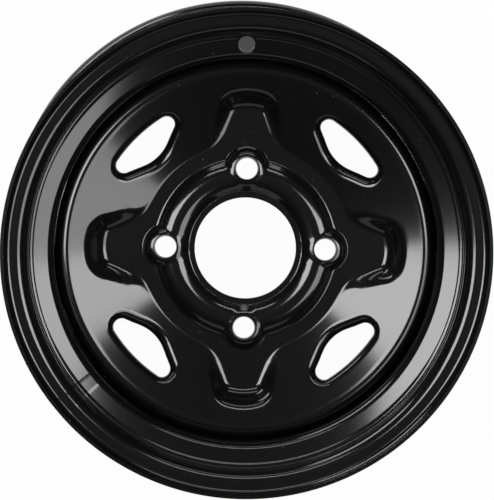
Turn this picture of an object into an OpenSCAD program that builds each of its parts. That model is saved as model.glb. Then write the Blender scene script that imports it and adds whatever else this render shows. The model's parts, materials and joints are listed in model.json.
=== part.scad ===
// Pressed steel wheel: a rolled rim, a pressed disc inside its drop well, and the welds that join them.
// The wheel axis is Z, the outboard side faces +Z, and the hub seats on the plane Z = 0.

/* [Rim] */
// Width between the two bead faces
rim_width = 177.8; // [165:0.1:230]
// From the hub face out to the outboard bead face
outset = 50.8; // [44:0.1:60]
// Diameter of the bead seats at the heel, on the tyre side
bead_seat_d = 304; // [303:0.2:306]
// Diameter over the flange lips
flange_d = 335.2; // [330:0.2:345]
// Thickness of the rim sheet
rim_t = 2.4; // [1.8:0.1:3]
// How far each lip stands out past its bead face
lip_reach = 8.2; // [7.5:0.1:12]
// Radius of the lip's curl, on the tyre side
curl_r = 7; // [5:0.1:7.4]
// Radius of the bead heel, on the tyre side
heel_r = 5.5; // [4:0.1:6]
// Width of each bead seat
seat_w = 13; // [12:0.5:15]
// Taper of the bead seats
seat_taper = 3; // [1:0.5:5]
// Diameter of the drop well, on the tyre side
well_d = 267.8; // [264:0.2:268.6]
// Width of the drop well
well_w = 56; // [48:0.5:62]
// Slope of the well's rear side from the wheel axis
rear_slope = 35; // [25:1:50]
// Radius of the bends at the well's rear side
rear_r = 6.5; // [4:0.1:7]

/* [Front wall of the drop well] */
// Width of the ledge next to the outboard bead seat
ledge_w = 3.9; // [3.6:0.1:4.4]
// Lean of that ledge from the wheel plane
ledge_lean = 3; // [1:0.5:4]
// Width of the step below the ledge
step_w = 1.4; // [1.3:0.1:1.8]
// Lean of the step from the wheel plane
step_lean = 28; // [25:0.5:29]
// Width of the wall below the step
wall_w = 5.9; // [5.7:0.1:6.3]
// Lean of that wall from the wheel plane
wall_lean = 14; // [13.5:0.5:16]
// Lean of the wall's foot from the wheel plane
wall_foot_lean = 38; // [34:0.5:38.5]
// Radius of the bend between bead seat and ledge, on the tyre side
brow_r = 3.2; // [2.8:0.1:3.4]
// Radius of the bend between ledge and step, on the tyre side
ledge_r = 2.6; // [2:0.1:2.8]
// Radius of the bend between step and wall, on the tyre side
step_r = 6.4; // [4:0.1:7]
// Radius of the long bend between the wall and its foot, on the tyre side
wall_r = 23.6; // [18:0.1:24]
// Radius of the bend between the wall's foot and the well, on the tyre side
well_r = 3.6; // [2.6:0.1:5]

/* [Valve hole] */
// Diameter of the valve hole
valve_d = 11.5; // [8:0.1:12]
// Where the valve hole is round the wheel
valve_at = 91; // [0:1:359]
// Radius at which the valve hole goes through the wall, on the tyre side
valve_r = 142.4; // [141.6:0.1:143]
// Lean of the valve hole from the wheel axis
valve_lean = 21; // [16:0.5:24]

/* [Disc] */
// Thickness of the disc sheet
disc_t = 3.2; // [2.6:0.1:3.6]
// Gap between the disc's flange and the drop well
press_gap = 0.15; // [0.05:0.05:0.4]
// How far the disc's flange reaches behind the hub face
flange_reach = 10; // [6:0.5:14]
// Radius of the disc's shoulder
shoulder_r = 8; // [6:0.1:9]
// Slope of the dish
dish_slope = 16; // [12:0.5:18]
// Radius of the flat plateau, where the dish meets it
plateau_r = 70.2; // [69.8:0.2:71.4]
// Radius of the bend between plateau and dish
plateau_bend = 12; // [6:0.5:14]

/* [Hub] */
// Diameter of the centre bore
bore_d = 69.9; // [60:0.1:71]
// Width of the flat lip round the bore
bore_lip_w = 3.5; // [2.4:0.1:4]
// Height of that lip over the plateau
bore_lip_rise = 1.5; // [0.5:0.1:3]
// Height of the lug ring over the plateau
ring_rise = 5; // [4:0.1:6]
// Inner radius of the lug ring's top
ring_in_r = 45.2; // [44.6:0.1:45.8]
// Outer radius of the lug ring's top
ring_out_r = 55.5; // [55:0.1:56.2]
// How far the lug ring's outer wall leans out
ring_lean = 7.8; // [7:0.1:8.2]
// Radius of the bends at the lug ring's top
ring_bend = 13; // [10:0.1:14]
// Radius of the bend at the lug ring's foot
foot_bend = 2; // [0.8:0.1:2.2]

/* [Lug holes] */
// Number of lug holes
lug_count = 4; // [3:1:4]
// Diameter of the lug circle
lug_circle_d = 110; // [106:0.5:114]
// Diameter of a lug hole
lug_d = 14.7; // [12:0.1:15.4]
// Full angle of the lug seats
seat_cone = 60; // [50:1:90]
// Depth of the lug seats
seat_depth = 2.2; // [1:0.1:2.4]
// Radius of the bulge in the lug ring round a lug hole
lug_bulge_r = 16; // [15.4:0.1:17]
// How far the wall of a bulge leans out
bulge_lean = 5.2; // [4.4:0.1:5.6]
// Radius of the bend at a bulge's top
bulge_bend = 5; // [4:0.1:5.4]

/* [Pockets] */
// Radius at which a pocket's floor ends
pocket_end_r = 96.5; // [93:0.5:97.5]
// Half width of a pocket's floor at that end
pocket_half_w = 9.6; // [9:0.1:10.2]
// How far the corners of that end lie behind its middle
pocket_bow = 2.1; // [1.5:0.1:2.4]
// Radius of the bowed end
pocket_bow_r = 27; // [20:0.5:28]
// Corner radius of a pocket's floor
pocket_corner_r = 4; // [3:0.1:4.4]
// How far each side of a pocket flares towards the hub
pocket_flare = 20.5; // [18:0.5:22]
// Direction from the hub at which a pocket's mouth meets the plateau
pocket_mouth = 27; // [26:0.5:28]
// Radius of the bend at each side of the mouth
pocket_mouth_r = 16; // [13:0.5:17]
// Width that a pocket's wall takes for each millimetre that it climbs
pocket_wall_w = 1.6; // [1.1:0.05:1.7]

/* [Windows] */
// Length of a window
window_len = 51.5; // [48:0.2:53]
// Height of a window, along the wheel's radius
window_h = 19.5; // [18:0.1:20.5]
// Radius of the middle of a window's outer edge
window_out_r = 106.8; // [105:0.2:108]
// Corner radius at a window's ends
window_end_r = 5.5; // [4.5:0.1:6]
// Corner radius nearest the hub
window_apex_r = 29; // [22:0.5:30]
// Radius of the bowed outer edge
window_edge_r = 107; // [100:1:200]
// Radius of the rolled edge
window_roll = 5; // [4:0.1:5.5]

/* [Welds] */
// Number of weld stitches
weld_count = 8; // [4:1:12]
// Arc of a weld stitch
weld_arc = 20; // [10:1:26]
// Leg of the weld along the well
weld_leg = 4; // [2:0.1:5]

/* [Hidden] */
paint = [0.07, 0.07, 0.075];
bare_weld = [0.1, 0.1, 0.1];
$fn = 96;

// Flat steps in each rounded bend of a section
bend_steps = 8;
// Overlap that lets one cut or solid run clear past another
over = 1;
// How far a lofted edge runs into the sheet that it joins, and how deep it sits there
lap = 0.6;
tuck = 0.06;
// Length of the valve hole's cut, enough for the wall and the bends beside it
valve_cut = 5 * (rim_t + over);

seat_r = bead_seat_d / 2;
flange_r = flange_d / 2;
well_out_r = well_d / 2;
well_in_r = well_out_r - rim_t;
inset = outset - rim_width;
seat_end_r = seat_r - seat_w * tan(seat_taper);
ledge_end_r = seat_end_r - ledge_w;
step_end_r = ledge_end_r - step_w;
wall_end_r = step_end_r - wall_w;
brow_z = outset - seat_w;
ledge_z = brow_z - ledge_w * tan(ledge_lean);
step_z = ledge_z - step_w * tan(step_lean);
wall_z = step_z - wall_w * tan(wall_lean);
well_front = wall_z - (wall_end_r - well_out_r) * tan(wall_foot_lean);
well_rear = well_front - well_w;
slope_run = (seat_end_r - well_out_r) / tan(rear_slope);

disc_r = well_in_r - press_gap;
dish_tangent = plateau_bend * tan(dish_slope / 2);
ring_foot_r = ring_out_r + ring_lean + foot_bend * tan(atan(ring_rise / ring_lean) / 2);
sheet_rise = disc_t / cos(dish_slope);
ring_top = disc_t + ring_rise;
bore_r = bore_d / 2;
lug_circle_r = lug_circle_d / 2;
lug_pitch = 360 / lug_count;

// Small plane geometry: unit directions, headings and turns in degrees
function along(a) = [cos(a), sin(a)];
function leftward(a) = [-sin(a), cos(a)];
function heading(p, q) = atan2(q[1] - p[1], q[0] - p[0]);
function turn(a, b) = b - a - 360 * round((b - a) / 360);
function flat(p) = [p[0], p[1]];
function shifted(p, d) = flat(p) + d * leftward(p[2]);
function reversed(list) = [for (i = [len(list) - 1 : -1 : 0]) list[i]];

// The rounded corner at b between a and c, as points [x, y, heading]
function corner(a, b, c, steps) =
    let (
        h = heading(a, b),
        bend = turn(h, heading(b, c)),
        side = sign(bend),
        start = flat(b) - b[2] * tan(abs(bend) / 2) * along(h),
        centre = start + side * b[2] * leftward(h)
    )
    [for (k = [0 : steps])
        let (a_k = h + bend * k / steps, p = centre - side * b[2] * leftward(a_k))
        [p[0], p[1], a_k]];

// An open path through corners [x, y, radius]
function path(corners, steps) =
    let (n = len(corners))
    [
        [corners[0][0], corners[0][1], heading(corners[0], corners[1])],
        for (i = [1 : n - 2]) each corner(corners[i - 1], corners[i], corners[i + 1], steps),
        [corners[n - 1][0], corners[n - 1][1], heading(corners[n - 2], corners[n - 1])]
    ];

// Points on an arc between two of its outward directions, from step first on, as [x, y, heading]
function arc(centre, r, from, to, steps, first) =
    [for (k = [first : steps])
        let (a = from + (to - from) * k / steps, p = centre + r * along(a))
        [p[0], p[1], a - 90]];

// Points between p and q on a straight run, with the run's heading
function run(p, q, parts) =
    [for (k = [1 : parts - 1])
        let (m = flat(p) + (flat(q) - flat(p)) * k / parts)
        [m[0], m[1], heading(p, q)]];

// The section of a sheet that lies to the right of its path
function sheet(line, t) =
    concat([for (p = line) flat(p)], [for (p = reversed(line)) shifted(p, -t)]);

// A closed skin over a row of equal sections, joined end to start if it is a ring
module loft(sections, ring) {
    rows = len(sections);
    n = len(sections[0]);
    last = ring ? rows - 1 : rows - 2;
    sides = [
        for (i = [0 : last], j = [0 : n - 1])
            let (a = i * n, b = ((i + 1) % rows) * n, k = (j + 1) % n)
            each [[a + j, b + k, a + k], [a + j, b + j, b + k]]
    ];
    ends = ring ? [] : [
        [for (j = [0 : n - 1]) j],
        [for (j = [n - 1 : -1 : 0]) (rows - 1) * n + j]
    ];
    polyhedron([for (s = sections) each s], concat(sides, ends));
}

// Rim

function rim_line() = path([
    [flange_r, outset + lip_reach],
    [flange_r, outset, curl_r],
    [seat_r, outset, heel_r],
    [seat_end_r, brow_z, brow_r],
    [ledge_end_r, ledge_z, ledge_r],
    [step_end_r, step_z, step_r],
    [wall_end_r, wall_z, wall_r],
    [well_out_r, well_front, well_r],
    [well_out_r, well_rear, rear_r],
    [seat_end_r, well_rear - slope_run, rear_r],
    [seat_end_r, inset + seat_w, rear_r],
    [seat_r, inset, heel_r],
    [flange_r, inset, curl_r],
    [flange_r, inset - lip_reach]
], bend_steps);

// The valve hole goes square through the well's front wall
module valve_hole() {
    rotate(valve_at)
        translate([valve_r, 0, step_z - (step_end_r - valve_r) * tan(wall_lean)])
            rotate([0, -valve_lean, 0])
                cylinder(d = valve_d, h = valve_cut, center = true);
}

module rim() {
    color(paint) difference() {
        rotate_extrude() polygon(sheet(rim_line(), rim_t));
        valve_hole();
    }
}

// Disc

// Height of the dish's front face over the hub face, at radius r
function dish_tilt(r) =
    let (arc_x = r - (plateau_r - dish_tangent))
    arc_x <= 0 ? 0 : asin(min(arc_x / plateau_bend, sin(dish_slope)));
function dish(r) =
    let (tilt = dish_tilt(r))
    tilt < dish_slope ? disc_t + plateau_bend * (1 - cos(tilt))
    : disc_t + (r - plateau_r) * tan(dish_slope);
function dish_back(r) = dish(r) - disc_t / cos(dish_tilt(r));

// Front face of the dish, from inside the lug ring to the end of the outer flange
function dish_line() = path([
    [ring_out_r, disc_t],
    [plateau_r, disc_t, plateau_bend],
    [disc_r, disc_t + (disc_r - plateau_r) * tan(dish_slope), shoulder_r],
    [disc_r, -flange_reach]
], bend_steps);

module each_lug() {
    for (i = [0 : lug_count - 1]) rotate(i * lug_pitch) children();
}

// Front face of the lug ring, from the bore to the plateau
function ring_line() = path([
    [bore_r - over, disc_t + bore_lip_rise],
    [bore_r + bore_lip_w, disc_t + bore_lip_rise, foot_bend],
    [ring_in_r, ring_top, ring_bend],
    [ring_out_r, ring_top, ring_bend],
    [ring_out_r + ring_lean, disc_t, foot_bend],
    [ring_out_r + ring_lean + over, disc_t]
], bend_steps);

// Front face of the bulge round a lug hole, about the hole's own axis
function bulge_line() = path([
    [0, ring_top],
    [lug_bulge_r - bulge_lean, ring_top, bulge_bend],
    [lug_bulge_r, disc_t, foot_bend],
    [lug_bulge_r + over, disc_t]
], bend_steps);

// What lies under a face line, down to the hub plane, and what its back leaves hollow
module under(line) {
    first = line[0];
    last = line[len(line) - 1];
    rotate_extrude() polygon(concat([for (p = line) flat(p)], [[last[0], 0], [first[0], 0]]));
}
module hollow(line) {
    back = [for (i = [0 : len(line) - 2]) shifted(line[i], -disc_t)];
    last = back[len(back) - 1];
    rotate_extrude() polygon(concat(back, [[last[0], -over], [back[0][0], -over]]));
}

module lug_hole() {
    translate([lug_circle_r, 0, -over]) cylinder(d = lug_d, h = ring_top + 2 * over);
    translate([lug_circle_r, 0, ring_top - seat_depth])
        cylinder(r1 = lug_d / 2, r2 = lug_d / 2 + 2 * seat_depth * tan(seat_cone / 2), h = 2 * seat_depth);
}

// A pocket lies along +X: the foot of its wall, as a path from one side of the mouth round to the other.
// The mouth's sides start on the flat plateau, along its edge, and bend into the pocket.
pocket_side_parts = 3;
pocket_mouth_parts = 3;
pocket_corner_parts = 3;
function across(u, v) = u[0] * v[1] - u[1] * v[0];
function pocket_foot() =
    let (
        half_turn = atan(pocket_bow / pocket_half_w),
        middle_x = pocket_end_r + pocket_bow_r * (1 / cos(half_turn) - 1),
        start = (plateau_r - dish_tangent) * along(pocket_mouth),
        inward = along(pocket_mouth - 90),
        side = along(-pocket_flare),
        end_a = [middle_x - pocket_bow, pocket_half_w, pocket_corner_r],
        knee = start + inward * across(flat(end_a) - start, side) / across(inward, side),
        knee_a = [knee[0], knee[1], pocket_mouth_r],
        middle = [middle_x, 0, pocket_bow_r],
        end_b = [end_a[0], -end_a[1], pocket_corner_r],
        bend_k = corner(start, knee_a, end_a, pocket_mouth_parts),
        bend_e = corner(knee_a, end_a, middle, pocket_corner_parts),
        bend_m = corner(end_a, middle, end_b, pocket_corner_parts),
        half = concat(
            [[start[0], start[1], pocket_mouth - 90]],
            run(start, bend_k[0], 2),
            bend_k,
            run(bend_k[pocket_mouth_parts], bend_e[0], pocket_side_parts),
            bend_e
        )
    )
    concat(half, bend_m, [for (p = reversed(half)) [p[0], -p[1], -180 - p[2]]]);

// The wall widens as it climbs, and its back stands out from its front to keep the sheet's thickness
wall_parts = 6;
wall_start_w = 1.2;
// The back's shift as a share of the sheet, at the wall's ends and once it climbs this far
low_shift = 0.1;
high_shift = 0.45;
full_shift_climb = 4;
function ease(x) = x * x * (3 - 2 * x);
function climb(p) = dish(norm(flat(p))) - disc_t;
function wall_width(p) = wall_start_w + climb(p) * pocket_wall_w;
function wall_shift(p) =
    disc_t * (low_shift + (high_shift - low_shift) * ease(min(1, climb(p) / full_shift_climb)));
function wall_end(p) = wall_width(p) + wall_shift(p);

function pocket_section(p) =
    let (
        at = function (s) shifted(p, s),
        point = function (s, z) [at(s)[0], at(s)[1], z],
        end = wall_end(p) + lap,
        end_r = norm(at(end)),
        front = [for (k = [0 : wall_parts])
            let (x = k / wall_parts, s = x * wall_width(p))
            point(s, disc_t + ease(x) * (dish(norm(at(s))) - disc_t))],
        back = [for (k = [0 : wall_parts])
            let (x = k / wall_parts, s = x * wall_width(p) + wall_shift(p))
            point(s, ease(x) * dish_back(norm(at(s))))]
    )
    concat(
        [point(-lap, disc_t - tuck)], front, [point(end, dish(end_r) - tuck)],
        [point(end, dish_back(end_r) + tuck)], reversed(back), [point(-lap, tuck)]
    );

module pocket_wall() {
    loft([for (p = reversed(pocket_foot())) pocket_section(p)], false);
}
module pocket_floor() {
    linear_extrude(disc_t) polygon([for (p = pocket_foot()) shifted(p, -lap / 2)]);
}
module pocket_cut() {
    translate([0, 0, -over])
        linear_extrude(disc_r)
            polygon([for (p = pocket_foot()) shifted(p, wall_end(p) + lap / 2)]);
}

// A window lies across +X: a blunt triangle with its apex to the hub and a bowed outer edge
window_side_parts = 4;
window_end_parts = 6;
function window_line() =
    let (
        end_y = window_len / 2 - window_end_r,
        edge = [window_out_r - window_edge_r, 0],
        lean = asin(end_y / (window_edge_r - window_end_r)),
        end_x = edge[0] + (window_edge_r - window_end_r) * cos(lean),
        apex = [window_out_r - window_h + window_apex_r, 0],
        reach = [end_x, end_y] - apex,
        slant = 180 - atan2(reach[0], reach[1]) - asin((window_apex_r - window_end_r) / norm(reach))
    )
    concat(
        arc(edge, window_edge_r, lean, -lean, window_side_parts, 1),
        arc([end_x, -end_y], window_end_r, -lean, -slant, window_end_parts, 1),
        arc(apex, window_apex_r, -slant, slant - 360, window_side_parts, 0),
        arc([end_x, end_y], window_end_r, slant - 360, lean - 360, window_end_parts, 0)
    );

// The edge is rolled back to point straight down, so the roll starts from the dish's own slope there
roll_parts = 4;
function roll_lean(p) = atan(tan(dish_slope) * (leftward(p[2]) * flat(p)) / norm(flat(p)));
function roll_end(p) = window_roll * (1 - sin(roll_lean(p)));
function window_section(p) =
    let (
        lean = roll_lean(p),
        end = roll_end(p) + lap + max(0, disc_t * sin(lean)),
        centre_z = dish(norm(shifted(p, roll_end(p)))) - window_roll * cos(lean),
        point = function (s, z) [shifted(p, s)[0], shifted(p, s)[1], z],
        rolled = function (r) [for (k = [0 : roll_parts])
            let (a = lean + (90 - lean) * k / roll_parts)
            point(window_roll - r * sin(a), centre_z + r * cos(a))],
        end_z = dish(norm(shifted(p, end)))
    )
    concat(
        [point(end, end_z - tuck)], rolled(window_roll),
        reversed(rolled(window_roll - disc_t)), [point(end, end_z - sheet_rise + tuck)]
    );

module window_edge() {
    loft([for (p = window_line()) window_section(p)], true);
}
module window_cut() {
    linear_extrude(disc_r) polygon([for (p = window_line()) shifted(p, roll_end(p) + lap / 2)]);
}

module dish_sheet() {
    difference() {
        rotate_extrude() polygon(sheet(dish_line(), disc_t));
        each_lug() pocket_cut();
        rotate(lug_pitch / 2) each_lug() window_cut();
    }
}

module hub() {
    difference() {
        union() {
            dish_sheet();
            each_lug() pocket_floor();
            under(ring_line());
            each_lug() translate([lug_circle_r, 0, 0]) under(bulge_line());
        }
        hollow(ring_line());
        each_lug() translate([lug_circle_r, 0, 0]) hollow(bulge_line());
        translate([0, 0, -over]) cylinder(d = bore_d, h = ring_top + 2 * over);
        each_lug() lug_hole();
    }
}

module disc() {
    color(paint) {
        hub();
        each_lug() pocket_wall();
        rotate(lug_pitch / 2) each_lug() window_edge();
    }
}

// Welds: stitches in the corner between the end of the disc's flange and the well
// Share of the disc's edge that a weld covers, and how far its face bows out, where half is flat
weld_cover = 0.8;
weld_bow = 0.62;
module weld_beads() {
    throat = press_gap + disc_t * weld_cover;
    color(bare_weld) for (i = [0 : weld_count - 1]) rotate(i * 360 / weld_count)
        translate([0, 0, -flange_reach])
            rotate_extrude(angle = weld_arc) polygon([
                [well_in_r, 0],
                [well_in_r - throat, 0],
                [well_in_r - throat * weld_bow, -weld_leg * weld_bow],
                [well_in_r, -weld_leg]
            ]);
}

rim();
disc();
weld_beads();
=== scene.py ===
# %% [markdown]
# # A pressed steel wheel
# The real wheel is two steel pressings: a rolled rim that carries the tyre, and a dished disc that bolts
# to the hub. They are welded together and painted satin black. The CAD model is the frame of this scene:
# it gives the outer box, the mounts and the welds, and Blender adds smooth skins and the finish.

# %% Load the frame
import json
import math

import bmesh
import bpy
import numpy as np
from mathutils import Matrix, Vector
from mathutils.geometry import delaunay_2d_cdt


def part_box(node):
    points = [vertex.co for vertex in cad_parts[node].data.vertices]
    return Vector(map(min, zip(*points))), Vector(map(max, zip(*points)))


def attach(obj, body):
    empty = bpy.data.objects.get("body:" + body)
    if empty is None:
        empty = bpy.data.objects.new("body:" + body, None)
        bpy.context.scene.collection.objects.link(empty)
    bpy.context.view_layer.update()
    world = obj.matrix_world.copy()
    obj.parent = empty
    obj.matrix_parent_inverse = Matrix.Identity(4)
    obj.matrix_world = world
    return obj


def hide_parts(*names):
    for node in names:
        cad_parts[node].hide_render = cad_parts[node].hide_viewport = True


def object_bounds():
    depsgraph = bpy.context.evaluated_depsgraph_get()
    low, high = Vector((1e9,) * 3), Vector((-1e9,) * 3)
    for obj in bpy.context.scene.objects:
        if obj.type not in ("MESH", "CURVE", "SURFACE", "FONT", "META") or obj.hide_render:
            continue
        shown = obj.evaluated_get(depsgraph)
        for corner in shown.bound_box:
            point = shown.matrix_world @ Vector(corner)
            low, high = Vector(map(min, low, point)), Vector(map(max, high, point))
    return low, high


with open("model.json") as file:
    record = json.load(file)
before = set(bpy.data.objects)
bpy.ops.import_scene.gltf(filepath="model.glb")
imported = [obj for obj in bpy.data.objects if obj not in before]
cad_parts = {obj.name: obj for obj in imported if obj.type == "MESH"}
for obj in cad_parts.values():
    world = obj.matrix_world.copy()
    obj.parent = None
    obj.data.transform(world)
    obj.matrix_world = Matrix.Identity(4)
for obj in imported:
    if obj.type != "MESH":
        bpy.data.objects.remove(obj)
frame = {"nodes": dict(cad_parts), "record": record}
cad_low, cad_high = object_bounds()
mounts = {mount["name"]: mount for mount in frame["record"]["mounts"]}
MM = 0.001
print("CAD box in mm:", [round(v / MM, 1) for v in (*cad_low, *cad_high)])

# %% [markdown]
# ## Satin black paint
# The wheel is dipped and baked, so its paint is a dark base under a clear, slightly soft gloss. Close up
# it has orange peel, which is a fine ripple left as the paint flows, and a few specks of dust. An image
# of paint would show seams on a wheel, so the finish is procedural: a Principled shader with a coat gives
# the gloss, noise gives the ripple as bump, and a sparse cell pattern gives the specks. Everything reads
# Object coordinates, so the grain has its real size in metres.

# %% Paint
PAINT_DARK = (0.0014, 0.0014, 0.0016, 1)
PAINT_WORN = (0.0024, 0.0024, 0.0026, 1)
SPECK_GREY = (0.16, 0.16, 0.16, 1)


def new_material(name):
    """An empty node material, with its tree and its Principled shader."""
    material = bpy.data.materials.new(name)
    material.use_nodes = True
    tree = material.node_tree
    return material, tree, tree.nodes["Principled BSDF"]


def add_node(tree, kind, **inputs):
    """A node of that kind with its sockets set by name, where _ stands for a space."""
    node = tree.nodes.new(kind)
    for name, value in inputs.items():
        node.inputs[name.replace("_", " ")].default_value = value
    return node


def satin_black_paint():
    """Black paint with orange peel, a slight change of tone, and sparse dust specks."""
    material, tree, shader = new_material("satin_black_paint")
    link = tree.links.new
    place = add_node(tree, "ShaderNodeTexCoord").outputs["Object"]

    tone = add_node(tree, "ShaderNodeTexNoise", Scale=14.0, Detail=3.0)
    link(place, tone.inputs["Vector"])
    colour = add_node(tree, "ShaderNodeMix")
    colour.data_type = "RGBA"
    colour.inputs[6].default_value = PAINT_DARK
    colour.inputs[7].default_value = PAINT_WORN
    link(tone.outputs["Fac"], colour.inputs[0])

    cells = add_node(tree, "ShaderNodeTexVoronoi", Scale=170.0)
    link(place, cells.inputs["Vector"])
    near = add_node(tree, "ShaderNodeMapRange", From_Min=0.035, From_Max=0.055, To_Min=1.0, To_Max=0.0)
    link(cells.outputs["Distance"], near.inputs["Value"])
    pick = add_node(tree, "ShaderNodeSeparateColor")
    link(cells.outputs["Color"], pick.inputs["Color"])
    rare = add_node(tree, "ShaderNodeMapRange", From_Min=0.55, From_Max=0.75)
    link(pick.outputs["Red"], rare.inputs["Value"])
    speck = add_node(tree, "ShaderNodeMath")
    speck.operation = "MULTIPLY"
    link(near.outputs["Result"], speck.inputs[0])
    link(rare.outputs["Result"], speck.inputs[1])
    dusty = add_node(tree, "ShaderNodeMix")
    dusty.data_type = "RGBA"
    dusty.inputs[7].default_value = SPECK_GREY
    link(speck.outputs["Value"], dusty.inputs[0])
    link(colour.outputs[2], dusty.inputs[6])
    link(dusty.outputs[2], shader.inputs["Base Color"])

    peel = add_node(tree, "ShaderNodeTexNoise", Scale=520.0, Detail=2.0, Roughness=0.45)
    link(place, peel.inputs["Vector"])
    bump = add_node(tree, "ShaderNodeBump", Strength=0.22, Distance=0.06 * MM)
    link(peel.outputs["Fac"], bump.inputs["Height"])
    link(bump.outputs["Normal"], shader.inputs["Normal"])

    shader.inputs["Roughness"].default_value = 0.5
    shader.inputs["Specular IOR Level"].default_value = 0.05
    shader.inputs["Coat Weight"].default_value = 1.0
    shader.inputs["Coat Roughness"].default_value = 0.115
    return material


paint = satin_black_paint()
print("Paint nodes:", len(paint.node_tree.nodes))

# %% [markdown]
# ## The rim
# The rim is one strip of steel, rolled through shaped wheels into its section and butt-welded into a
# hoop. A lathe-like Screw modifier could turn its section too, but the bends would stay hard to edit. So
# it is drawn as it is rolled: a wire through the corners of the tyre side, each corner rounded by a
# vertex bevel, is spun round the wheel's axis, and Solidify gives it the sheet's thickness.

# %% Rim sizes
SHARP_DEG = 38
rim_t = 2.4 * MM
flange_r = 167.6 * MM
lip_reach = 8.2 * MM
curl_bend = 7.0 * MM
outset = cad_high.z - lip_reach
inset = cad_low.z + lip_reach
seat_r = 152.0 * MM
seat_w = 13.0 * MM
seat_lean = 3
heel_bend = 5.5 * MM
ledge_bend = 3.2 * MM
wall_lean = 14
nose_bend = 4.2 * MM
well_out_r = 133.9 * MM
well_w = 59.3 * MM
rear_bend = 6.5 * MM
rear_slope = math.radians(35)
LEDGES = [
    {"width": 3.9 * MM, "lean": 3, "bend": 2.6 * MM},
    {"width": 1.4 * MM, "lean": 28, "bend": 6.4 * MM},
]


def drop(width, lean):
    """How far a strip of that width falls, if it leans so many degrees from the level."""
    return width * math.tan(math.radians(lean))


seat_end_r = seat_r - drop(seat_w, seat_lean)
front_wall = [(seat_end_r, outset - seat_w, ledge_bend)]
for ledge in LEDGES:
    r, z, _ = front_wall[-1]
    front_wall.append((r - ledge["width"], z - drop(ledge["width"], ledge["lean"]), ledge["bend"]))
wall_r, wall_z, _ = front_wall[-1]
well_front = wall_z - drop(wall_r - well_out_r, wall_lean)
well_rear = well_front - well_w
slope_top = well_rear - (seat_end_r - well_out_r) / math.tan(rear_slope)
RIM_CORNERS = [
    (flange_r, outset + lip_reach, 0),
    (flange_r, outset, curl_bend),
    (seat_r, outset, heel_bend),
    *front_wall,
    (well_out_r, well_front, nose_bend),
    (well_out_r, well_rear, rear_bend),
    (seat_end_r, slope_top, rear_bend),
    (seat_end_r, inset + seat_w, rear_bend),
    (seat_r, inset, heel_bend),
    (flange_r, inset, curl_bend),
    (flange_r, inset - lip_reach, 0),
]
print("Rim corners:", len(RIM_CORNERS))

# %% Rim sheet
RIM_STEPS = 288
BEND_SEGMENTS = 9
MERGE = 0.001 * MM


def rounded_wire(bm, corners, segments):
    """Joins corners (across, up, radius) by a wire in the XZ plane and rounds each inner one."""
    verts = [bm.verts.new((across, 0, up)) for across, up, _ in corners]
    for start, end in zip(verts, verts[1:]):
        bm.edges.new((start, end))
    points = [Vector((across, up)) for across, up, _ in corners]
    for i in range(1, len(corners) - 1):
        turn = (points[i] - points[i - 1]).angle(points[i + 1] - points[i])
        bmesh.ops.bevel(bm, geom=[verts[i]], offset=corners[i][2] * math.tan(turn / 2), offset_type="OFFSET",
                        segments=segments, profile=0.5, affect="VERTICES", material=-1)


def spin_round(bm, steps):
    """Spins everything in the mesh once round Z and closes the seam."""
    bmesh.ops.spin(bm, geom=bm.verts[:] + bm.edges[:], cent=(0, 0, 0), axis=(0, 0, 1), angle=2 * math.pi,
                   steps=steps, use_merge=True)
    bmesh.ops.remove_doubles(bm, verts=bm.verts[:], dist=MERGE)


def finished_object(name, bm, sharp_deg=SHARP_DEG):
    """Turns a bmesh into a smooth-shaded object at the origin, sharp only at its real edges."""
    mesh = bpy.data.meshes.new(name)
    bm.to_mesh(mesh)
    bm.free()
    mesh.polygons.foreach_set("use_smooth", [True] * len(mesh.polygons))
    mesh.set_sharp_from_angle(angle=math.radians(sharp_deg))
    piece = bpy.data.objects.new(name, mesh)
    bpy.context.scene.collection.objects.link(piece)
    return piece


rim_bm = bmesh.new()
rounded_wire(rim_bm, RIM_CORNERS, BEND_SEGMENTS)
spin_round(rim_bm, RIM_STEPS)
bmesh.ops.recalc_face_normals(rim_bm, faces=rim_bm.faces[:])
print("Rim sheet faces:", len(rim_bm.faces))

# %% [markdown]
# ### The butt weld
# Where the strip's ends were welded, the rolled weld is dressed flush and leaves a band about ten
# millimetres wide with a faint step at each side. A bump texture could show it, but only geometry is kept
# in an exported mesh. Bisecting the sheet on four radial planes gives the steps their edges, and the band
# between them is raised by a few hundredths of a millimetre.

# %% Butt weld band
SEAM_AT = math.radians(221.0)
SEAM_HALF = math.radians(1.95)
SEAM_STEP = math.radians(0.14)
SEAM_RISE = 0.06 * MM
ON_PLANE = 0.0001 * MM


def raise_seam(bm):
    """Lifts a narrow band of the sheet along its normals, with a short step at each side."""
    for edge in (-SEAM_HALF, SEAM_HALF):
        for side in (-SEAM_STEP, SEAM_STEP):
            angle = SEAM_AT + edge + side
            bmesh.ops.bisect_plane(bm, geom=bm.verts[:] + bm.edges[:] + bm.faces[:], dist=ON_PLANE,
                                   plane_co=(0, 0, 0), plane_no=(-math.sin(angle), math.cos(angle), 0))
    bm.normal_update()
    inner = SEAM_HALF - SEAM_STEP * 0.5
    middle = Vector((math.cos(SEAM_AT), math.sin(SEAM_AT)))
    for vert in bm.verts:
        across = vert.co.xy
        if abs(across.angle_signed(middle)) < inner:
            vert.co += vert.normal * SEAM_RISE


probe = max(rim_bm.faces, key=lambda face: -abs(face.calc_center_median().z))
outward = probe.normal.dot(Vector((*probe.calc_center_median().xy, 0))) > 0
if outward:
    bmesh.ops.reverse_faces(rim_bm, faces=rim_bm.faces[:])
raise_seam(rim_bm)
print("Rim faces with the weld band:", len(rim_bm.faces))

# %% [markdown]
# ### The valve hole
# The valve hole is punched through the front wall of the well, and the press flattens a small land beside
# it. Cutting the section's own faces by hand would leave a rough edge, so a spun cutter with a shallow
# chamfer and a thin block are subtracted by Boolean modifiers, once Solidify has made the sheet a solid.
# The modifiers are then applied.

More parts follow.
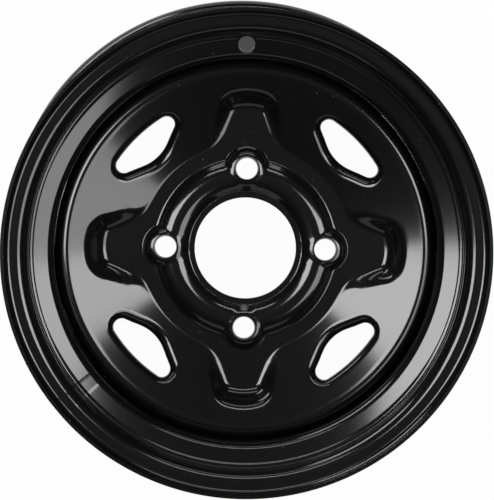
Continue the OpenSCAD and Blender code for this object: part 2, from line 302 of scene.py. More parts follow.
# %% Valve cutters
valve = mounts["valve_hole"]
valve_r = valve["dims"]["r_mm"] * MM
valve_axis = Vector(valve["axis"]).normalized()
valve_place = Vector(valve["pos_m"])
VALVE_CHAMFER = 0.4 * MM
VALVE_STEPS = 64
LAND_HALF_W = 6.0 * MM
LAND_REACH = 7.0 * MM
LAND_DEPTH = 0.05 * MM


def valve_frame():
    """Turns +X along the wall towards the flange, +Z out of the wall, and moves to the hole."""
    outward = Vector((valve_place.x, valve_place.y, 0)).normalized()
    along = (outward - valve_axis * outward.dot(valve_axis)).normalized()
    side = valve_axis.cross(along)
    turn = Matrix((along, side, valve_axis)).transposed().to_4x4()
    return Matrix.Translation(valve_place) @ turn


def hole_cutter():
    """A spun plug whose front end is a little wider, so that it leaves a chamfer."""
    bm = bmesh.new()
    front = rim_t / 2
    profile = [
        (0, -4 * rim_t), (valve_r, -4 * rim_t), (valve_r, front - VALVE_CHAMFER),
        (valve_r + VALVE_CHAMFER, front), (valve_r + VALVE_CHAMFER, 4 * rim_t), (0, 4 * rim_t),
    ]
    verts = [bm.verts.new((x, 0, z)) for x, z in profile]
    for start, end in zip(verts, verts[1:]):
        bm.edges.new((start, end))
    spin_round(bm, VALVE_STEPS)
    bmesh.ops.recalc_face_normals(bm, faces=bm.faces[:])
    return bm


def land_cutter():
    """A block that flattens the bend between the hole and the flange."""
    bm = bmesh.new()
    size = Matrix.Diagonal((LAND_REACH, 2 * LAND_HALF_W, 2 * rim_t, 1))
    middle = Matrix.Translation((LAND_REACH / 2, 0, rim_t * 1.5 - LAND_DEPTH))
    bmesh.ops.create_cube(bm, size=1, matrix=middle @ size)
    return bm


print("Valve hole in mm:", round(2 * valve_r / MM, 2))


# %% Make the rim solid and cut the valve hole
def applied(piece):
    """Replaces a piece's mesh by what its modifiers make of it."""
    bpy.context.view_layer.update()
    seen = piece.evaluated_get(bpy.context.evaluated_depsgraph_get())
    mesh = bpy.data.meshes.new_from_object(seen)
    piece.modifiers.clear()
    piece.data = mesh
    return piece


def cut_by(piece, cutters):
    """Subtracts each cutter in turn."""
    for cutter in cutters:
        boolean = piece.modifiers.new("cut", "BOOLEAN")
        boolean.object = cutter
        boolean.solver = "EXACT"
    applied(piece)
    for cutter in cutters:
        bpy.data.objects.remove(cutter)


def make_rim():
    """The rim's sheet made solid and cut at the valve, with its shading reset."""
    rim = finished_object("rim_skin", rim_bm)
    wall = rim.modifiers.new("sheet", "SOLIDIFY")
    wall.thickness = rim_t
    wall.offset = 1
    wall.use_even_offset = True
    applied(rim)
    cutters = []
    for name, bm in (("valve_plug", hole_cutter()), ("valve_land", land_cutter())):
        bm.transform(valve_frame())
        cutters.append(finished_object(name, bm))
    cut_by(rim, cutters)
    rim.data.polygons.foreach_set("use_smooth", [True] * len(rim.data.polygons))
    rim.data.set_sharp_from_angle(angle=math.radians(SHARP_DEG))
    return rim


rim = make_rim()
weights = rim.modifiers.new("flats", "WEIGHTED_NORMAL")
weights.keep_sharp = True
rim.data.materials.clear()
rim.data.materials.append(paint)
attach(rim, "root")
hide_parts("rim")
print("Rim triangles:", sum(len(p.vertices) - 2 for p in rim.data.polygons))

# %% [markdown]
# ## The disc
# The disc is one sheet, pressed from a flat blank: a sloping dish, a flat plateau, a raised lug ring that
# swells round each lug hole, four recessed pockets and four windows with rolled edges. Spinning gives
# only round forms, and extruded pieces would need a seam at every bend. A press moves a flat blank up and
# down, so the disc is made the same way: a flat blank is filled with rows of points along every bend, and
# then each point is moved to its height.

# %% Disc sizes
disc_t = 3.2 * MM
disc_r = 131.35 * MM
flange_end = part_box("disc")[0].z
dish_slope = math.radians(16)
plateau_r = 70.2 * MM
plateau_bend = 14.0 * MM
plateau_edge_r = plateau_r - plateau_bend * math.tan(dish_slope / 2)
shoulder_bend = 8.0 * MM
bore_r = mounts["centre_bore"]["dims"]["r_mm"] * MM
lug_r = mounts["lug_holes"]["dims"]["hole_r_mm"] * MM
lug_circle_r = mounts["lug_holes"]["dims"]["pcd_mm"] / 2 * MM
lug_count = mounts["lug_holes"]["dims"]["count"]
seat_depth = 2.2 * MM
seat_half_angle = math.radians(30)
seat_top_r = lug_r + seat_depth * math.tan(seat_half_angle)
print("Lug circle in mm:", round(2 * lug_circle_r / MM, 1), "bore in mm:", round(2 * bore_r / MM, 1))

# %% [markdown]
# ### Lug ring and shoulder
# The lug ring stiffens the hub area, and its bulges give each lug nut a full seat. Both are round, so
# each needs only a profile: heights along a line out from its centre. The same rounded wire as for the
# rim gives them, and at the outside a bend carries the dish over into the flange that is welded to the
# rim.

# %% Profiles of the lug ring
PROFILE_SEGMENTS = 8
PROFILE_END = 1.0 * MM
ring_top = 8.2 * MM
ring_in_r = 44.9 * MM
ring_out_r = 55.5 * MM
ring_lean = 7.8 * MM
ring_bend = 13.0 * MM
foot_bend = 0.9 * MM
bore_lip_w = 4.0 * MM
bore_lip_top = 4.7 * MM
lug_bulge_r = 16.0 * MM
bulge_lean = 5.2 * MM
bulge_bend = 5.0 * MM


def profile(corners):
    """Radii and heights along a rounded line, taken from a wire that is rounded like the rim's."""
    bm = bmesh.new()
    rounded_wire(bm, corners, PROFILE_SEGMENTS)
    points = sorted((vert.co.x, vert.co.z) for vert in bm.verts)
    bm.free()
    return np.array(points).T


ring_profile = profile([
    (bore_r - PROFILE_END, bore_lip_top, 0),
    (bore_r + bore_lip_w, bore_lip_top, foot_bend),
    (ring_in_r, ring_top, ring_bend),
    (ring_out_r, ring_top, ring_bend),
    (ring_out_r + ring_lean, disc_t, foot_bend),
    (ring_out_r + ring_lean + PROFILE_END, disc_t, 0),
])
bulge_profile = profile([
    (0, ring_top, 0),
    (lug_bulge_r - bulge_lean, ring_top, bulge_bend),
    (lug_bulge_r, disc_t, foot_bend),
    (lug_bulge_r + PROFILE_END, disc_t, 0),
])
print("Ring profile points:", ring_profile.shape[1], "bulge profile points:", bulge_profile.shape[1])

# %% Shoulder and flange
shoulder_reach = shoulder_bend * math.tan((math.pi / 2 + dish_slope) / 2)
shoulder_r = disc_r - shoulder_reach * math.cos(dish_slope)
shoulder_arc = shoulder_bend * (math.pi / 2 + dish_slope)
crown_r = disc_r - shoulder_bend
shoulder_z = disc_t + (shoulder_r - plateau_r) * math.tan(dish_slope)
crown_mid_z = shoulder_z - shoulder_bend * math.cos(dish_slope)
flange_len = crown_mid_z - flange_end
blank_r = shoulder_r + shoulder_arc + flange_len
print("Blank radius in mm:", round(blank_r / MM, 1), "crown at", round(crown_r / MM, 1))

# %% [markdown]
# ### Dish and pocket walls
# A pocket is a place where the dish was left at the plateau's level. Its wall starts with a bend at its
# foot, climbs steeply at the pocket's end and more gently along its sides, and turns softly into the
# dish. A Boolean cut would leave sharp edges, so the wall is a formula: the lesser of the wall's height
# and the dish's height, with a soft edge between the two.

# %% Heights of dish and walls
pocket_slope = math.radians(54)
pocket_side_slope = math.radians(37)
pocket_half_w = 7.5 * MM
side_ramp = 9.0 * MM
pocket_soft = 4.4 * MM
LEAST_SOFT = 0.01 * MM
SOFT_SHARE = 0.9


def eased(share):
    """A share from 0 to 1 with a gentle start and end."""
    return share ** 2 * (3 - 2 * share)


def dish_height(r):
    """Front of the dish and plateau over the hub plane."""
    tilt = np.arcsin(np.clip((r - plateau_edge_r) / plateau_bend, 0, math.sin(dish_slope)))
    bend = disc_t + plateau_bend * (1 - np.cos(tilt))
    slope = disc_t + (r - plateau_r) * math.tan(dish_slope)
    return np.where(tilt < dish_slope - 1e-9, bend, slope)


def lesser(a, b, soft):
    """The lesser of two heights, with the edge between them rounded over a height."""
    return np.minimum(a, b) - np.clip(soft - abs(a - b), 0, None) ** 2 / (4 * soft)


def wall_slope(outline):
    """Slope of a pocket's wall at each point of its foot: steep at the end wall, gentler along the sides."""
    past = np.clip((abs(outline[:, 1]) - pocket_half_w) / side_ramp, 0, 1)
    return pocket_slope + (pocket_side_slope - pocket_slope) * eased(past)


def wall_rise(gap, slope):
    """Rise of a pocket's wall at a distance from its foot: a bend, then an even slope."""
    reach = plateau_bend * np.sin(slope)
    bend = plateau_bend - np.sqrt(plateau_bend ** 2 - np.clip(gap, 0, reach) ** 2)
    return bend + np.clip(gap - reach, 0, None) * np.tan(slope)


def softness(dish, share=1.0):
    """How softly a wall turns into the dish, where the dish stands at that height."""
    return np.clip(SOFT_SHARE * (dish - disc_t), LEAST_SOFT, pocket_soft) * share


print("Dish at the shoulder in mm:", round(float(dish_height(np.array(shoulder_r))) / MM, 2))

# %% [markdown]
# ### Outlines in plan
# Pockets and windows are drawn in plan as outlines across +X, and turned to their places later. A
# pocket's outline is the foot of its wall: the mouth, a wide knee, a straight side, a tight corner and a
# bowed end. It runs on along the plateau's edge, so that four of them close into one line round the
# plateau. A window's outline is a blunt triangle of arcs and lines.

# %% Lines and arcs
def turned(points, angle):
    """Plan points turned about the wheel's axis."""
    c, s = math.cos(angle), math.sin(angle)
    return points @ np.array([[c, s], [-s, c]])


def mirrored(points):
    """Plan points mirrored across the X axis, in reverse order."""
    return [np.array((p[0], -p[1])) for p in reversed(points)]


def line_points(start, end, gap):
    """Points along a straight line, without its end."""
    count = max(1, int(np.ceil(np.linalg.norm(np.subtract(end, start)) / gap)))
    return [np.add(start, np.multiply(np.subtract(end, start), k / count)) for k in range(count)]


def arc_points(centre, radius, start, end, gap):
    """Points along an arc between two directions, without its end."""
    count = max(3, int(np.ceil(abs(end - start) * radius / gap)))
    angles = [start + (end - start) * k / count for k in range(count)]
    return [np.array((centre[0] + radius * math.cos(a), centre[1] + radius * math.sin(a))) for a in angles]


print("Points on a quarter of the plateau's edge, 5 mm apart:",
      len(arc_points((0, 0), plateau_edge_r, 0, math.pi / 2, 5 * MM)))

# %% Pocket outline
OUTLINE_SEGMENTS = 24
pocket_end_x = 93.3 * MM
pocket_bow = 1.5 * MM
pocket_bow_bend = 23.0 * MM
pocket_corner = 0.8 * MM
pocket_flare = math.radians(20.5)
pocket_mouth = math.radians(30)
pocket_mouth_bend = 28.0 * MM


def pocket_corners():
    """Corners of the foot of a pocket's wall on its +Y side: mouth, knee, end corner and middle."""
    middle = Vector((pocket_end_x, 0))
    end = Vector((middle.x - pocket_bow, pocket_half_w))
    mouth = plateau_edge_r * Vector((math.cos(pocket_mouth), math.sin(pocket_mouth)))
    inward = Vector((math.sin(pocket_mouth), -math.cos(pocket_mouth)))
    side = Vector((math.cos(pocket_flare), -math.sin(pocket_flare)))
    knee = mouth + inward * (end - mouth).cross(side) / inward.cross(side)
    return mouth, knee, end, middle


def pocket_outline(gap):
    """Foot of a pocket's wall, along +X, with the plateau's edge up to the next pocket at each side."""
    mouth, knee, end, middle = pocket_corners()
    low_end, low_knee, low_mouth = (Vector((p.x, -p.y)) for p in (end, knee, mouth))
    corners = [(*mouth, 0), (*knee, pocket_mouth_bend), (*end, pocket_corner), (*middle, pocket_bow_bend),
               (*low_end, pocket_corner), (*low_knee, pocket_mouth_bend), (*low_mouth, 0)]
    bm = bmesh.new()
    rounded_wire(bm, corners, OUTLINE_SEGMENTS)
    vert = min(bm.verts, key=lambda v: (v.co.xz - mouth).length)
    points, last = [vert.co.xz], None
    while True:
        ahead = [edge for edge in vert.link_edges if edge is not last]
        if not ahead:
            break
        last = ahead[0]
        vert = last.other_vert(vert)
        points += [Vector(p) for p in line_points(points[-1], vert.co.xz, gap)[1:]] + [vert.co.xz]
    bm.free()
    edge = arc_points((0, 0), plateau_edge_r, math.pi / lug_count, pocket_mouth, gap)
    return np.array(edge + points + mirrored(edge))


print("Pocket outline points, 1 mm apart:", len(pocket_outline(MM)))

# %% Window outline
window_len = 51.5 * MM
window_h = 19.5 * MM
window_out_r = 106.8 * MM
window_end_bend = 5.5 * MM
window_apex_bend = 29.0 * MM
window_edge_bend = 107.0 * MM


def window_outline(gap):
    """Edge of a window across +X: a blunt triangle with its apex to the hub and a bowed outer edge."""
    end_y = window_len / 2 - window_end_bend
    edge_x = window_out_r - window_edge_bend
    lean = math.asin(end_y / (window_edge_bend - window_end_bend))
    end_x = edge_x + (window_edge_bend - window_end_bend) * math.cos(lean)
    apex_x = window_out_r - window_h + window_apex_bend
    reach = math.hypot(end_x - apex_x, end_y)
    slant = math.pi - math.atan2(end_x - apex_x, end_y)
    slant -= math.asin((window_apex_bend - window_end_bend) / reach)
    apex_end = apex_x + window_apex_bend * math.cos(slant), window_apex_bend * math.sin(slant)
    tip_end = end_x + window_end_bend * math.cos(slant), end_y + window_end_bend * math.sin(slant)
    half = arc_points((end_x, end_y), window_end_bend, lean, slant, gap)
    half += line_points(tip_end, apex_end, gap)
    half += arc_points((apex_x, 0), window_apex_bend, slant, math.pi, gap)
    apex = [np.array((apex_x - window_apex_bend, 0))]
    edge = arc_points((edge_x, 0), window_edge_bend, -lean, lean, gap)
    return np.array(half + apex + mirrored(half[1:]) + edge)


print("Window outline points, 1 mm apart:", len(window_outline(MM)))

# %% [markdown]
# ### How far a point lies from an outline
# The height of a wall or of a rolled edge depends only on how far a point lies from the outline, and on
# which part of the outline is nearest. A modifier that measures this would need objects of its own, so
# numpy finds the nearest of many close points on the outline.

# %% Distances
CHUNK = 4000


def outward_rows(outline, closed):
    """Unit directions that point out of an outline at each of its points."""
    if closed:
        ahead = np.roll(outline, -1, axis=0) - np.roll(outline, 1, axis=0)
    else:
        ahead = np.gradient(outline, axis=0)
    ahead /= np.linalg.norm(ahead, axis=1)[:, None]
    out = np.stack([-ahead[:, 1], ahead[:, 0]], axis=1)
    middle = outline.mean(axis=0)
    return out if np.sum((outline - middle) * out) > 0 else -out


def distance_from(points, outline, out):
    """Signed distance of plan points from an outline, and the index of the nearest point on it."""
    best = np.full(len(points), np.inf)
    index = np.zeros(len(points), int)
    for start in range(0, len(points), CHUNK):
        part = points[start:start + CHUNK]
        gaps = np.linalg.norm(part[:, None, :] - outline[None, :, :], axis=2)
        index[start:start + CHUNK] = gaps.argmin(axis=1)
        best[start:start + CHUNK] = gaps.min(axis=1)
    side = np.einsum("ij,ij->i", points - outline[index], out[index])
    return np.where(side < 0, -best, best), index


FINE = 0.25 * MM
pocket_fine = pocket_outline(FINE)
pocket_out = outward_rows(pocket_fine, False)
window_fine = window_outline(FINE)
window_out = outward_rows(window_fine, True)
print("Fine outline points:", len(pocket_fine), "pocket,", len(window_fine), "window")

# %% Widths along the outlines
WIDTH_ROUNDS = 8
WIDEST_WALL = 19.0 * MM
LEAST_SHARE = 0.02
mouth_start = 3.0 * MM
mouth_ramp = 28.0 * MM
window_roll = 5.9 * MM


def wall_width(outline, out):
    """Width of a pocket's wall at each point of its foot, found in a few rounds."""
    slope = wall_slope(outline)
    start = plateau_bend * (np.sin(slope) * np.tan(slope) + np.cos(slope) - 1)
    width = np.zeros(len(outline))
    for _ in range(WIDTH_ROUNDS):
        dish = dish_height(np.linalg.norm(outline + out * width[:, None], axis=1))
        width = (dish - disc_t + softness(dish) + start) / np.tan(slope)
    return np.minimum(width, WIDEST_WALL)


def mouth_share(outline):
    """How much of the softness a wall has: none along the plateau's edge, all of it past the mouth."""
    edge = plateau_edge_r * (math.pi / lug_count - pocket_mouth) + mouth_start
    steps = np.linalg.norm(np.diff(outline, axis=0), axis=1)
    length = np.concatenate([[0], np.cumsum(steps)])
    past = (np.minimum(length, length[-1] - length) - edge) / mouth_ramp
    return eased(np.clip(past, LEAST_SHARE, 1))


def roll_lean(outline, out):
    """Slope of the dish across a window's edge, at each point of the edge."""
    unit = outline / np.linalg.norm(outline, axis=1)[:, None]
    return np.arctan(math.tan(dish_slope) * np.einsum("ij,ij->i", unit, out))


pocket_width = wall_width(pocket_fine, pocket_out)
pocket_share = mouth_share(pocket_fine)
pocket_slopes = wall_slope(pocket_fine)
window_lean = roll_lean(window_fine, window_out)
window_reach = window_roll * (1 - np.sin(window_lean))
window_meet = dish_height(np.linalg.norm(window_fine + window_out * window_reach[:, None], axis=1))
window_mid_z = window_meet - window_roll * np.cos(window_lean)
print("Pocket wall width in mm:", *(round(v / MM, 1) for v in (pocket_width.min(), pocket_width.max())))

# %% [markdown]
# ### The blank
# A bend looks smooth only where rows of points follow it. So each bend gets its own rows: rings round the
# bore and the lug holes, and rows along the pockets' walls and the windows' rolled edges. Even rings of
# points fill the rest. Blender's constrained Delaunay fill joins them all into triangles and keeps every
# outline as an edge.

# %% Rows of points
FIELD_GAP = 1.5 * MM
FLANGE_GAP = 2.4 * MM
ROW_GAP = 1.2 * MM
RING_GAP = 0.7 * MM
FOOT_SIDE = 0.6 * MM
BORE_EDGE = 0.2 * MM
SHOULDER_ROWS = 10
FLANGE_ROWS = 4
ROLL_ROWS = 8
ROLL_PAST = (0.7 * MM, 1.5 * MM)
LEAST_RING = 24
RING_STEP = 8
WALL_SHARES = (-0.1, 0, 0.07, 0.14, 0.22, 0.32, 0.42, 0.52, 0.62, 0.72, 0.82, 0.91, 1, 1.1)
ring_foot_r = ring_out_r + ring_lean + PROFILE_END
lug_turns = [2 * math.pi * i / lug_count for i in range(lug_count)]
window_turns = [turn + math.pi / lug_count for turn in lug_turns]
lug_places = [lug_circle_r * np.array((math.cos(turn), math.sin(turn))) for turn in lug_turns]


def circle_points(radius, count, centre=(0, 0)):
    """Points evenly round a circle in plan."""
    angles = np.arange(count) * 2 * math.pi / count
    return np.array(centre) + radius * np.stack([np.cos(angles), np.sin(angles)], axis=1)


def ring_of_points(radius):
    """A ring of field points, closer together on the dish than on the flange."""
    gap = FIELD_GAP if radius < shoulder_r else FLANGE_GAP
    count = int(round(2 * math.pi * radius / gap / RING_STEP)) * RING_STEP
    return circle_points(radius, max(LEAST_RING, count))


def roll_rows(outline, out):
    """Rows of points on a window's rolled edge, from its lip to just past where it meets the dish."""
    lean = roll_lean(outline, out)[:, None]
    for share in np.linspace(0, 1, ROLL_ROWS + 1):
        turn = math.pi / 2 - (math.pi / 2 - lean) * share
        yield outline + out * window_roll * (1 - np.sin(turn))
    for past in ROLL_PAST:
        yield outline + out * (window_roll * (1 - np.sin(lean)) + past)


def field_radii():
    """Radii of the point rings: close together on every bend and even between them."""
    feet = [bore_r + bore_lip_w, ring_out_r + ring_lean]
    bends = [foot + side * FOOT_SIDE for foot in feet for side in (-1, 1)]
    bends += [*ring_profile[0][(ring_profile[0] > bore_r + BORE_EDGE) & (ring_profile[0] < ring_foot_r)]]
    arc = [shoulder_r + shoulder_arc * k / SHOULDER_ROWS for k in range(SHOULDER_ROWS + 1)]
    flange = [shoulder_r + shoulder_arc + flange_len * k / FLANGE_ROWS for k in range(1, FLANGE_ROWS)]
    even = list(np.arange(bore_r + FIELD_GAP, shoulder_r - 0.5 * FIELD_GAP, FIELD_GAP))
    kept = bends + arc + flange
    return kept + [r for r in even if min(abs(r - k) for k in kept) > RING_GAP]


print("Rings of field points:", len(field_radii()))

# %% Room round the rows
LUG_ROOM = 1.4 * MM
BULGE_ROOM = 1.5 * MM
FOOT_ROOM = 1.0 * MM
WALL_ROOM = 0.5 * MM
WALL_SPREAD = 1.2
RING_EDGE = 4.0 * MM
ROLL_ROW_ROOM = 2.2 * MM
ROLL_ROOM = 2.4 * MM
bulge_start_r = ring_out_r - RING_EDGE
bulge_end_r = ring_in_r + RING_EDGE


def off_the_ring_top(points):
    """Which points lie off the flat top of the lug ring, on its inner or its outer side."""
    r = np.linalg.norm(points, axis=1)
    return (r > bulge_start_r) | (r < bulge_end_r)


def clear_of_windows(points, room):
    """Leaves out points on a window's rolled edge, or within that room of it."""
    keep = np.ones(len(points), bool)
    for turn in window_turns:
        gap, index = distance_from(turned(points, -turn), window_fine, window_out)
        keep &= gap > window_reach[index] + room
    return points[keep]


def clear_of_rows(field):
    """Leaves out field points that would crowd the rows along lug holes, bulges, pockets and windows."""
    r = np.linalg.norm(field, axis=1)
    keep = np.ones(len(field), bool)
    for place in lug_places:
        gap = np.linalg.norm(field - place, axis=1)
        on_bulge = (gap < lug_bulge_r + BULGE_ROOM) & off_the_ring_top(field)
        keep &= (gap > seat_top_r + LUG_ROOM) & ~on_bulge
    for turn in lug_turns:
        gap, index = distance_from(turned(field, -turn), pocket_fine, pocket_out)
        near = (gap > -FOOT_ROOM) & (gap < pocket_width[index] * WALL_SPREAD + WALL_ROOM)
        keep &= ~(near & (r > ring_foot_r + FOOT_ROOM) & (r < shoulder_r))
    return clear_of_windows(field[keep], ROLL_ROOM)


field = clear_of_rows(np.concatenate([ring_of_points(r) for r in field_radii()]))
print("Field points:", len(field))

# %% Rows round lug holes and pockets
LUG_STEPS = 56
BULGE_STEPS = 96
SEAT_ROW = 0.7 * MM
BULGE_ROW = 1.5 * MM


def lug_rows(place):
    """Rows round a lug hole: its cone seat, and its bulge where that stands clear of the ring's top."""
    yield circle_points(seat_top_r, LUG_STEPS, place)
    yield circle_points(seat_top_r + SEAT_ROW, LUG_STEPS, place)
    for radius in bulge_profile[0][bulge_profile[0] > seat_top_r + BULGE_ROW]:
        ring = circle_points(radius, BULGE_STEPS, place)
        yield ring[off_the_ring_top(ring)]


def pocket_rows(turn):
    """Rows along a pocket's wall, outside the lug ring and clear of the windows."""
    outline = pocket_outline(ROW_GAP)
    out = outward_rows(outline, False)
    width = wall_width(outline, out)[:, None]
    beyond = np.linalg.norm(outline, axis=1) > ring_foot_r + FOOT_ROOM
    for share in WALL_SHARES:
        points = outline + out * width * share
        yield clear_of_windows(turned(points[beyond], turn), ROLL_ROW_ROOM)


print("Points in a pocket's rows:", sum(len(row) for row in pocket_rows(0)))

# %% Fill the blank
BLANK_STEPS = 360
BORE_STEPS = 200
FILL_CLOSE = 1e-7


def blank_points():
    """The closed outlines of the blank, and the loose points between them."""
    outlines = [circle_points(blank_r, BLANK_STEPS), circle_points(bore_r, BORE_STEPS)]
    loose = []
    for place in lug_places:
        outlines.append(circle_points(lug_r, LUG_STEPS, place))
        loose += lug_rows(place)
    edge = window_outline(ROW_GAP)
    for turn in window_turns:
        lip, *rows = roll_rows(edge, outward_rows(edge, True))
        outlines.append(turned(lip, turn))
        loose += [turned(row, turn) for row in rows]
    for turn in lug_turns:
        loose += pocket_rows(turn)
    return outlines, np.concatenate(loose + [field])


def fill_blank():
    """Fills the blank with triangles between its outlines."""
    outlines, loose = blank_points()
    points, edges = [], []
    for outline in outlines:
        first = len(points)
        points += [Vector(p) for p in outline]
        edges += [(first + k, first + (k + 1) % len(outline)) for k in range(len(outline))]
    points += [Vector(p) for p in loose]
    verts, _, faces, *_ = delaunay_2d_cdt(points, edges, [], 0, FILL_CLOSE)
    return np.array(verts), faces


blank, blank_faces = fill_blank()
print("Blank points:", len(blank), "triangles before the holes open:", len(blank_faces))

# %% [markdown]
# ### The press
# Now the blank is pressed. Each point's height is worked out in the order in which the forms lie over
# each other: dish and pockets, lug ring and bulges, the cone seats in the lug holes, and last the
# windows' rolled edges. Outside the dish the blank is wrapped over the shoulder and down the flange.

# %% Heights of the front face
CREASE = 1.0 * MM


def soft_max(a, b):
    """The higher of two heights, with the crease between them rounded."""
    near = np.clip(0.5 + 0.5 * (a - b) / CREASE, 0, 1)
    return b + (a - b) * near + CREASE * near * (1 - near)


def pocketed_dish(plan, r):
    """Height of the dish with its pockets."""
    height = dish_height(r)
    for turn in lug_turns:
        local = turned(plan, -turn)
        ahead = local[:, 0] > abs(local[:, 1])
        gap, index = distance_from(local[ahead], pocket_fine, pocket_out)
        dish = height[ahead]
        rise = wall_rise(gap, pocket_slopes[index])
        wall = lesser(dish, disc_t + rise, softness(dish, pocket_share[index]))
        height[ahead] = np.where(r[ahead] < shoulder_r, wall, dish)
    return height


def lug_ring_height(plan, r):
    """Height of the lug ring with the bulges round its holes."""
    height = np.interp(r, *ring_profile)
    for place in lug_places:
        height = soft_max(height, np.interp(np.linalg.norm(plan - place, axis=1), *bulge_profile))
    return height


def pressed_heights(plan):
    """Height of the front face at each plan point inside the shoulder."""
    r = np.linalg.norm(plan, axis=1)
    height = np.maximum(pocketed_dish(plan, r), lug_ring_height(plan, r))
    for place in lug_places:
        gap = np.linalg.norm(plan - place, axis=1)
        height -= np.clip((seat_top_r - gap) / (seat_top_r - lug_r), 0, 1) * seat_depth
    for turn in window_turns:
        gap, index = distance_from(turned(plan, -turn), window_fine, window_out)
        short = window_roll - np.clip(gap, 0, 2 * window_roll)
        rolled = window_mid_z[index] + np.sqrt(window_roll ** 2 - short ** 2)
        height = np.where(gap < window_reach[index], rolled, height)
    return height


heights = pressed_heights(blank)
inside = np.linalg.norm(blank, axis=1) < shoulder_r
print("Highest point of the dish in mm:", round(heights[inside].max() / MM, 2))

# %% Press the front face
BORE_INSIDE = 0.9995
LUG_INSIDE = 0.998
WINDOW_INSIDE = 0.02 * MM


def pressed(plan):
    """Places of the blank's points on the pressed disc."""
    r = np.linalg.norm(plan, axis=1)
    unit = plan / r[:, None]
    bend = np.clip((r - shoulder_r) / shoulder_bend, 0, shoulder_arc / shoulder_bend) - dish_slope
    below = np.clip(r - shoulder_r - shoulder_arc, 0, None)
    over = r > shoulder_r
    out = np.where(over, crown_r + shoulder_bend * np.sin(bend), r)
    up = np.where(over, crown_mid_z + shoulder_bend * np.cos(bend) - below, heights)
    return np.column_stack([unit * out[:, None], up])


def in_hole(middles):
    """Which plan points lie in the bore, a lug hole or a window."""
    hole = np.linalg.norm(middles, axis=1) < bore_r * BORE_INSIDE
    for place in lug_places:
        hole |= np.linalg.norm(middles - place, axis=1) < lug_r * LUG_INSIDE
    for turn in window_turns:
        gap, _ = distance_from(turned(middles, -turn), window_fine, window_out)
        hole |= gap < -WINDOW_INSIDE
    return hole


def disc_front():
    """The pressed front face of the disc as a bmesh."""
    bm = bmesh.new()
    verts = [bm.verts.new(p) for p in pressed(blank)]
    middles = np.array([blank[list(face)].mean(axis=0) for face in blank_faces])
    for face, hole in zip(blank_faces, in_hole(middles)):
        if not hole:
            bm.faces.new([verts[k] for k in face])
    loose = [vert for vert in bm.verts if not vert.link_faces]
    bmesh.ops.delete(bm, geom=loose, context="VERTS")
    bmesh.ops.recalc_face_normals(bm, faces=bm.faces[:])
    if sum(face.normal.z for face in bm.faces) < 0:
        bmesh.ops.reverse_faces(bm, faces=bm.faces[:])
    bm.normal_update()
    return bm


disc_bm = disc_front()
print("Front faces:", len(disc_bm.faces))

# %% [markdown]
# ### The back of the sheet
# The back lies one sheet's thickness behind the front. A Solidify modifier would copy the cone seats to
# the back too, so the back is a copy of the front, moved along its normals, but flat round each lug hole.
# A row of faces along every open edge closes the sheet.

# %% Back of the sheet
DISC_SHARP_DEG = 42
FLAT_ROOM = 0.1 * MM


def add_back(bm):
    """Copies the front face to the back of the sheet and joins the two at every edge."""
    front_verts, front_faces = bm.verts[:], bm.faces[:]
    edges = [edge for edge in bm.edges if edge.is_boundary]
    copy = bmesh.ops.duplicate(bm, geom=front_verts + bm.edges[:] + front_faces)
    pair = copy["vert_map"]
    under_ring = ring_top - disc_t
    for vert in front_verts:
        gap = min((vert.co.xy - Vector(place)).length for place in lug_places)
        back = vert.co - vert.normal * disc_t
        if gap < seat_top_r + FLAT_ROOM:
            back = Vector((*vert.co.xy, under_ring))
        pair[vert].co = back
    back_faces = [face for face in copy["geom"] if isinstance(face, bmesh.types.BMFace)]
    bmesh.ops.reverse_faces(bm, faces=back_faces)
    for edge in edges:
        start, end = edge.verts
        bm.faces.new((start, end, pair[end], pair[start]))
    bmesh.ops.recalc_face_normals(bm, faces=bm.faces[:])


add_back(disc_bm)
disc = finished_object("disc_skin", disc_bm, DISC_SHARP_DEG)
disc.data.materials.append(paint)
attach(disc, "root")
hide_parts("disc")
print("Disc triangles:", sum(len(p.vertices) - 2 for p in disc.data.polygons))

# %% [markdown]
# ## The welds
# Short fillet welds behind the disc hold it in the rim's well. They can't be seen from the front, so they
# keep their CAD shape and are painted with the wheel.

# %% Paint the welds
welds = frame["nodes"]["weld_beads"]
welds.data.materials.clear()
welds.data.materials.append(paint)
print("Weld faces:", len(welds.data.polygons))

# %% [markdown]
# ## Floor
# The wheel lies on a pale floor. A floor that is lit to white would need more light than the paint can
# take, so the floor glows white where the camera or a reflection looks at it, mixed with a little real
# shading, so that the wheel keeps its shadow.

# %% Floor
FLOOR_SIZE = 14.0
FLOOR_GLOW = 0.97
FLOOR_DROP = 0.05 * MM


def floor_material():
    """A white floor that keeps a little of its shading."""
    material, tree, shader = new_material("pale_floor")
    link = tree.links.new
    shader.inputs["Base Color"].default_value = (0.82, 0.82, 0.82, 1)
    shader.inputs["Roughness"].default_value = 0.8
    glow = add_node(tree, "ShaderNodeEmission", Color=(1, 1, 1, 1), Strength=1.0)
    ray = add_node(tree, "ShaderNodeLightPath")
    seen = ray.outputs["Is Camera Ray"]
    for kind in ("Is Glossy Ray", "Is Transmission Ray"):
        either = add_node(tree, "ShaderNodeMath")
        either.operation = "MAXIMUM"
        link(seen, either.inputs[0])
        link(ray.outputs[kind], either.inputs[1])
        seen = either.outputs["Value"]
    share = add_node(tree, "ShaderNodeMath")
    share.operation = "MULTIPLY"
    share.inputs[1].default_value = FLOOR_GLOW
    link(seen, share.inputs[0])
    mix = add_node(tree, "ShaderNodeMixShader")
    link(share.outputs["Value"], mix.inputs[0])
    link(shader.outputs["BSDF"], mix.inputs[1])
    link(glow.outputs["Emission"], mix.inputs[2])
    link(mix.outputs["Shader"], tree.nodes["Material Output"].inputs["Surface"])
    return material


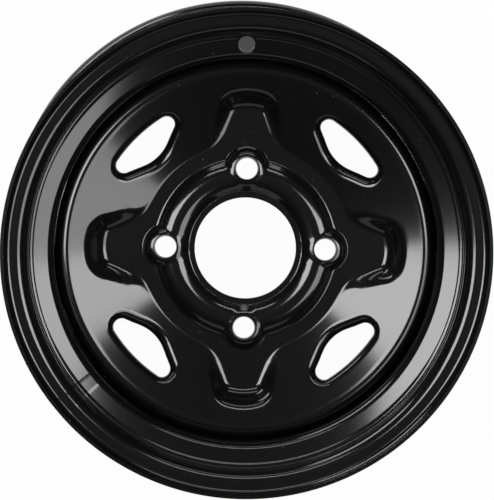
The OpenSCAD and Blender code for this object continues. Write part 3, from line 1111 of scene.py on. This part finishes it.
floor_bm = bmesh.new()
bmesh.ops.create_grid(floor_bm, x_segments=1, y_segments=1, size=FLOOR_SIZE / 2)
bmesh.ops.translate(floor_bm, verts=floor_bm.verts[:], vec=(0, 0, cad_low.z - FLOOR_DROP))
floor = finished_object("floor", floor_bm)
floor.data.materials.append(floor_material())
print("Floor at mm:", round(cad_low.z / MM, 2))

# %% [markdown]
# ## Light
# Black paint shows its shape only through what it reflects, so the lamps are placed by what the slopes
# see. A softbox to the right, dimmer in its lower half, and a smaller one to the left light the dish and
# the rim's front wall. Two thin strips above draw fine lines along the bends at the bottom, one lamp at
# the upper left catches the lips, and a weak one below fills in. The room itself stays dim.

# %% Softboxes
LIGHT_DISTANCE = 1.7


def softbox(name, across, above, width, height, radiance):
    """An upright rectangular lamp that faces the wheel, so many degrees across and above its axis."""
    a, t = math.radians(across), math.radians(above)
    toward = Vector((math.sin(a) * math.cos(t), math.sin(t), math.cos(a) * math.cos(t)))
    side = Vector((math.cos(a), 0, -math.sin(a)))
    up = toward.cross(side)
    data = bpy.data.lights.new(name, "AREA")
    data.shape = "RECTANGLE"
    data.size, data.size_y = width, height
    data.energy = radiance * math.pi * width * height
    lamp = bpy.data.objects.new(name, data)
    turn = Matrix((side, up, toward)).transposed().to_4x4()
    lamp.matrix_world = Matrix.Translation(toward * LIGHT_DISTANCE) @ turn
    bpy.context.scene.collection.objects.link(lamp)
    return lamp


softbox("softbox_right", 25, 3, 0.72, 0.36, 9.8)
softbox("softbox_right_low", 25, -11.5, 0.72, 0.52, 5.2)
softbox("softbox_left", -23, 3, 0.72, 0.52, 11.5)
softbox("strip_top", 0, 37, 1.20, 0.14, 8.0)
softbox("strip_high", 0, 59, 1.40, 0.14, 3.5)
softbox("lip_light", -73, 54, 0.50, 1.00, 7.0)
softbox("bounce_low", 0, -55, 1.60, 0.50, 0.6)
print("Lamps:", len(bpy.data.lights))

# %% Dim room
ROOM_TINT = (0.9, 0.95, 1.0, 1)
ROOM_LIGHT = 0.015
world = bpy.data.worlds.new("dim_room")
world.use_nodes = True
room = world.node_tree.nodes["Background"]
room.inputs["Color"].default_value = ROOM_TINT
room.inputs["Strength"].default_value = ROOM_LIGHT
bpy.context.scene.world = world
bpy.context.scene.view_settings.view_transform = "Standard"
print("Room light:", ROOM_LIGHT)

# %% [markdown]
# ## Camera
# The photograph looks almost straight down the wheel's axis from about three metres, from a little above
# and to the left, so the rear flange peeks out at the top. The camera's axes are built from the direction
# in which the wheel's axis points in the picture.

# %% Camera
IMAGE_W, IMAGE_H = 494, 500
FOCAL_PX = 4497.0
SENSOR_W = 36.0
FRONT_DEPTH = 3.052
FRONT_CENTRE_PX = Vector((246.85, 254.18))
AXIS_SEEN = Vector((0.0200, -0.0775, 0.9968)).normalized()
ROLL = math.radians(1.05)


def photo_camera():
    """A camera that sees the wheel's front centre, axis and top where the photograph has them."""
    up_seen = Vector((math.sin(ROLL), math.cos(ROLL), 0))
    up_seen = (up_seen - AXIS_SEEN * up_seen.dot(AXIS_SEEN)).normalized()
    right_seen = up_seen.cross(AXIS_SEEN)
    to_camera = Matrix((right_seen, up_seen, AXIS_SEEN)).transposed()
    offset = FRONT_CENTRE_PX - Vector((IMAGE_W / 2, IMAGE_H / 2))
    front_seen = Vector((offset.x, -offset.y, -FOCAL_PX)) * (FRONT_DEPTH / FOCAL_PX)
    front_centre = Vector((0, 0, cad_high.z))
    place = front_centre - to_camera.transposed() @ front_seen
    data = bpy.data.cameras.new("photo_camera")
    data.sensor_fit = "HORIZONTAL"
    data.sensor_width = SENSOR_W
    data.lens = FOCAL_PX / IMAGE_W * SENSOR_W
    data.clip_end = 50
    camera = bpy.data.objects.new("photo_camera", data)
    camera.matrix_world = Matrix.Translation(place) @ to_camera.transposed().to_4x4()
    bpy.context.scene.collection.objects.link(camera)
    return camera


bpy.context.scene.camera = photo_camera()
print("Camera at m:", [round(v, 3) for v in bpy.context.scene.camera.matrix_world.translation])
